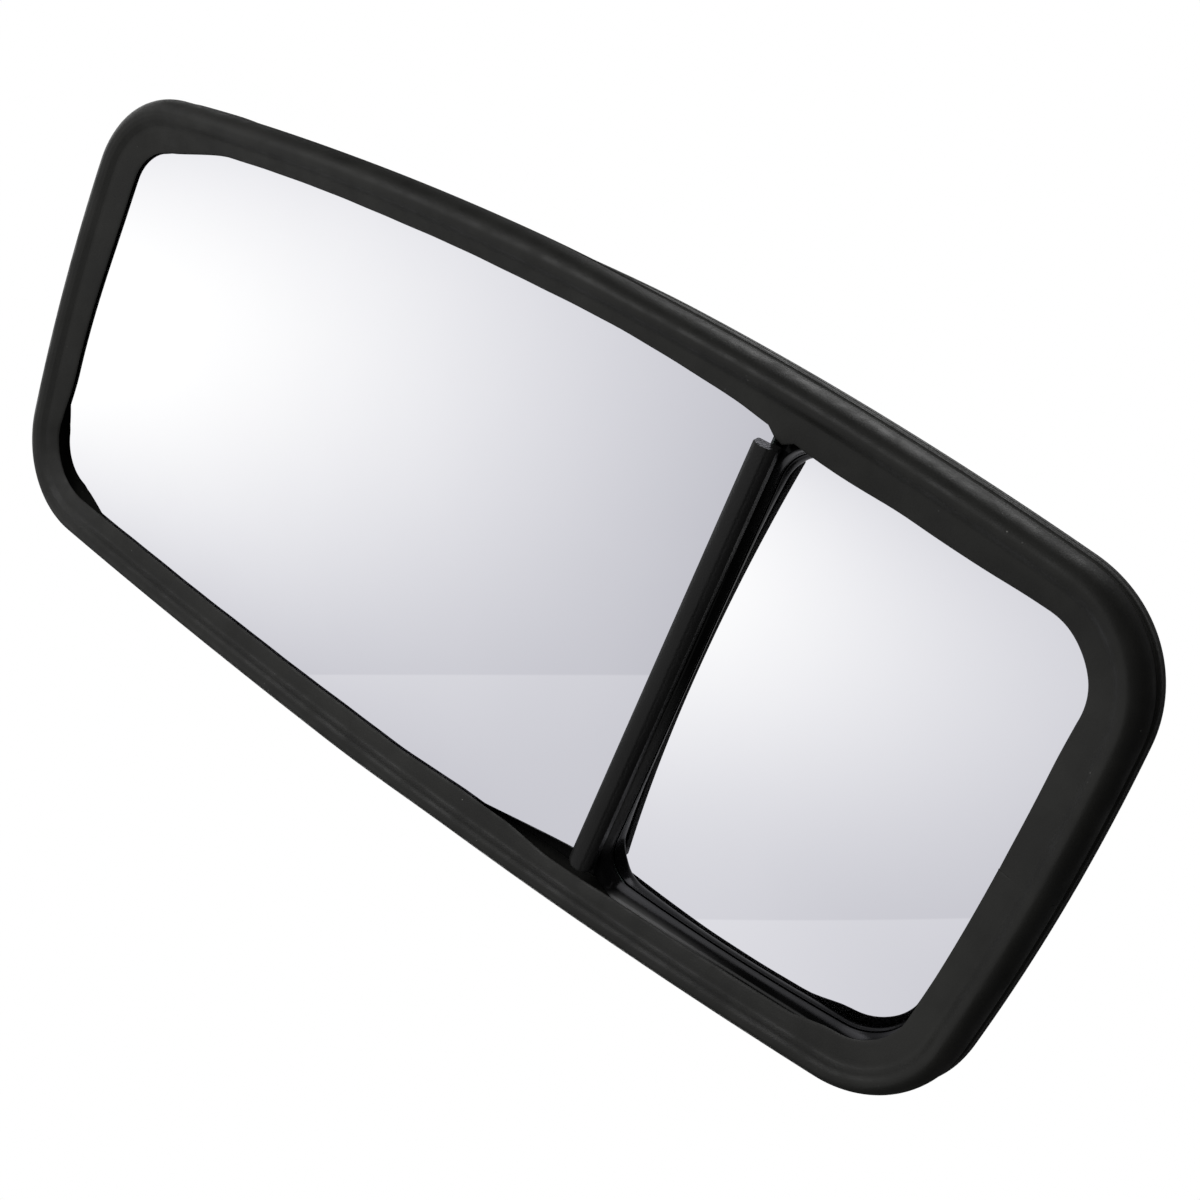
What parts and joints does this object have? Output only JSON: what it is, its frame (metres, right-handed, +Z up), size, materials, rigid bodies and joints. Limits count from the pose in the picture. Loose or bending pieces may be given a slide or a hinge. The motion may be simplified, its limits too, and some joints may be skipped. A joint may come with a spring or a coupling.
{
  "type": "towing mirror",
  "caption": "Tall rounded mirror head with flat glass over a smaller convex wide angle glass, rubber edge gasket, rear housing, ball swivel and arm tube clamp.",
  "frame": {"origin": "on the axis of the arm tube the clamp grips, halfway up the clamp", "axes": "+Z up along the arm tube, -Y out of the glass towards the driver, +X to the right of someone looking at the glass"},
  "size_m": [0.1893, 0.1326, 0.4299],
  "materials": {
    "gasket_rubber": "matt",
    "housing_plastic": "fine grain",
    "gloss_black_plastic": "gloss",
    "black_plastic": "satin",
    "mirror_glass": "polished",
    "foam": "open cell foam",
    "nylon": "smooth",
    "zinc_steel": "zinc plated",
    "black_steel": "satin black",
    "cast_aluminium": "black powder coat",
    "liner_rubber": "matt"
  },
  "bodies": {
    "clamp": {"clamp_base": "cast_aluminium", "clamp_cap": "cast_aluminium", "clamp_liner_front": "liner_rubber", "clamp_liner_rear": "liner_rubber", "clamp_bolt_1": "zinc_steel", "clamp_bolt_2": "zinc_steel", "clamp_washer_1": "zinc_steel", "clamp_washer_2": "zinc_steel", "clamp_nut_1": "zinc_steel", "clamp_nut_2": "zinc_steel"},
    "ball_stud": {"ball_stud": "zinc_steel", "stud_washer": "zinc_steel", "stud_nut": "zinc_steel"},
    "ball_seat": {"ball_seat": "nylon"},
    "head": {"rear_housing": "housing_plastic", "edge_gasket": "gasket_rubber", "main_mirror_glass": "mirror_glass", "main_foam_pad": "foam", "main_backing_plate": "black_plastic", "wide_angle_frame": "gloss_black_plastic", "wide_angle_glass": "mirror_glass", "wide_angle_foam_pad": "foam", "divider_bar": "black_plastic", "socket_plate": "black_plastic", "socket_ring": "black_steel", "socket_screw_1": "zinc_steel", "socket_screw_2": "zinc_steel", "socket_screw_3": "zinc_steel", "housing_screw_1": "zinc_steel", "housing_screw_2": "zinc_steel", "housing_screw_3": "zinc_steel", "housing_screw_4": "zinc_steel"}
  },
  "joints": [
    {"name": "stud_turn", "type": "hinge", "parent": "clamp", "child": "ball_stud", "pos_m": [0, -0.0337, 0], "axis": [0, 1, 0], "continuous": true},
    {"name": "head_pan", "type": "hinge", "parent": "ball_stud", "child": "ball_seat", "pos_m": [0, -0.071, 0], "axis": [0, 0, 1], "range_deg": [-20, 20]},
    {"name": "head_tilt", "type": "hinge", "parent": "ball_seat", "child": "head", "pos_m": [0, -0.071, 0], "axis": [1, 0, 0], "range_deg": [-12, 12]}
  ]
}
